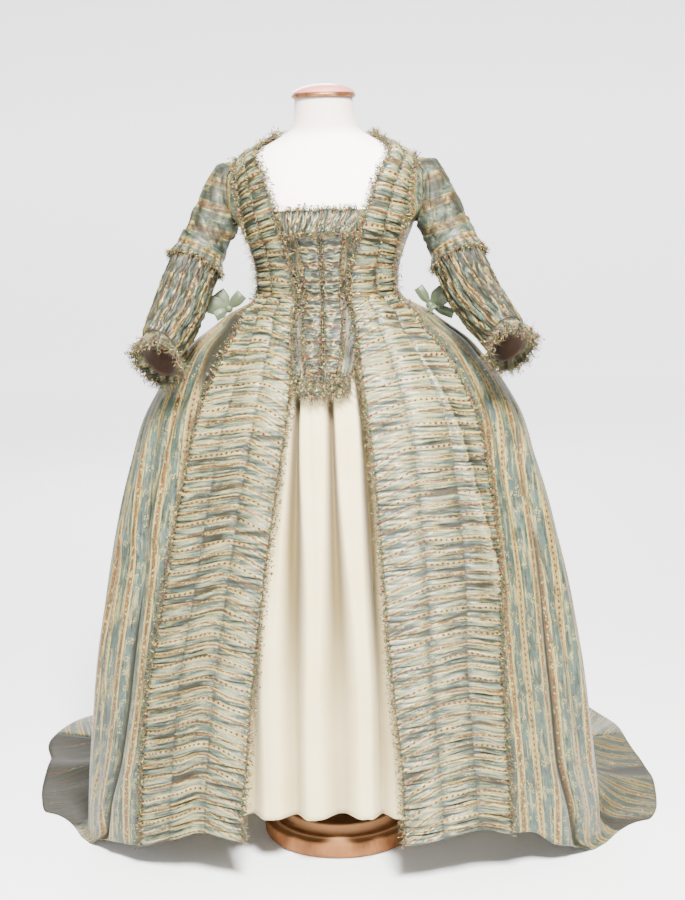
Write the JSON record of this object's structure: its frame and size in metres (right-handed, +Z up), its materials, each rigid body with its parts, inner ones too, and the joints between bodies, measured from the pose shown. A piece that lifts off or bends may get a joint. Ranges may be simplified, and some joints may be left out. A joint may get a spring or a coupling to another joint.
{
  "type": "robe a la francaise gown with petticoat on a limbless dress form",
  "caption": "Open silk gown with a sack back and short train, ruched trims, flared cuffs and a plain petticoat, worn on a limbless dress form with a round wooden base.",
  "frame": {"origin": "middle of the round wooden base's flat underside, on the floor", "axes": "+Z up along the pole; the gown's front faces -Y and the train runs out towards +Y; nodes called right lie at +X, which is the right-hand side seen from the front"},
  "size_m": [1.3451, 1.1612, 1.4361],
  "materials": {
    "striped_silk": "satin",
    "ruched_silk": "satin",
    "cream_petticoat": "matt",
    "brown_lining": "matt",
    "hip_bow_silk": "satin",
    "fly_fringe": "matt",
    "white_jersey": "matt",
    "pink_cap": "smooth",
    "gilt_rim": "satin",
    "turned_wood": "varnished",
    "pole_steel": "brushed"
  },
  "bodies": {
    "root": {"bodice_back_left": "striped_silk", "bodice_back_right": "striped_silk", "bodice_front_left": "striped_silk", "bodice_front_right": "striped_silk", "skirt_front_left": "striped_silk", "skirt_front_right": "striped_silk", "skirt_side_left": "striped_silk", "skirt_side_right": "striped_silk", "sleeve_upper_left": "striped_silk", "sleeve_upper_right": "striped_silk", "sack_back": "striped_silk", "robing_left": "ruched_silk", "robing_right": "ruched_silk", "skirt_trim_left": "ruched_silk", "skirt_trim_right": "ruched_silk", "stomacher_left": "ruched_silk", "stomacher_right": "ruched_silk", "sleeve_lower_left": "ruched_silk", "sleeve_lower_right": "ruched_silk", "elbow_band_left": "ruched_silk", "elbow_band_right": "ruched_silk", "cuff_frill_left": "ruched_silk", "cuff_frill_right": "ruched_silk", "neckline_frill": "ruched_silk", "stomacher_frill": "ruched_silk", "petticoat": "cream_petticoat", "petticoat_waistband": "cream_petticoat", "cuff_lining_left": "brown_lining", "cuff_lining_right": "brown_lining", "hip_bow_left": "hip_bow_silk", "hip_bow_right": "hip_bow_silk", "cuff_fringe_left": "fly_fringe", "cuff_fringe_right": "fly_fringe", "elbow_fringe_left": "fly_fringe", "elbow_fringe_right": "fly_fringe", "opening_fringe_left": "fly_fringe", "opening_fringe_right": "fly_fringe", "form_torso": "white_jersey", "neck_cap": "pink_cap", "neck_cap_rim": "gilt_rim", "stand_base": "turned_wood", "stand_pole": "pole_steel"}
  },
  "joints": []
}
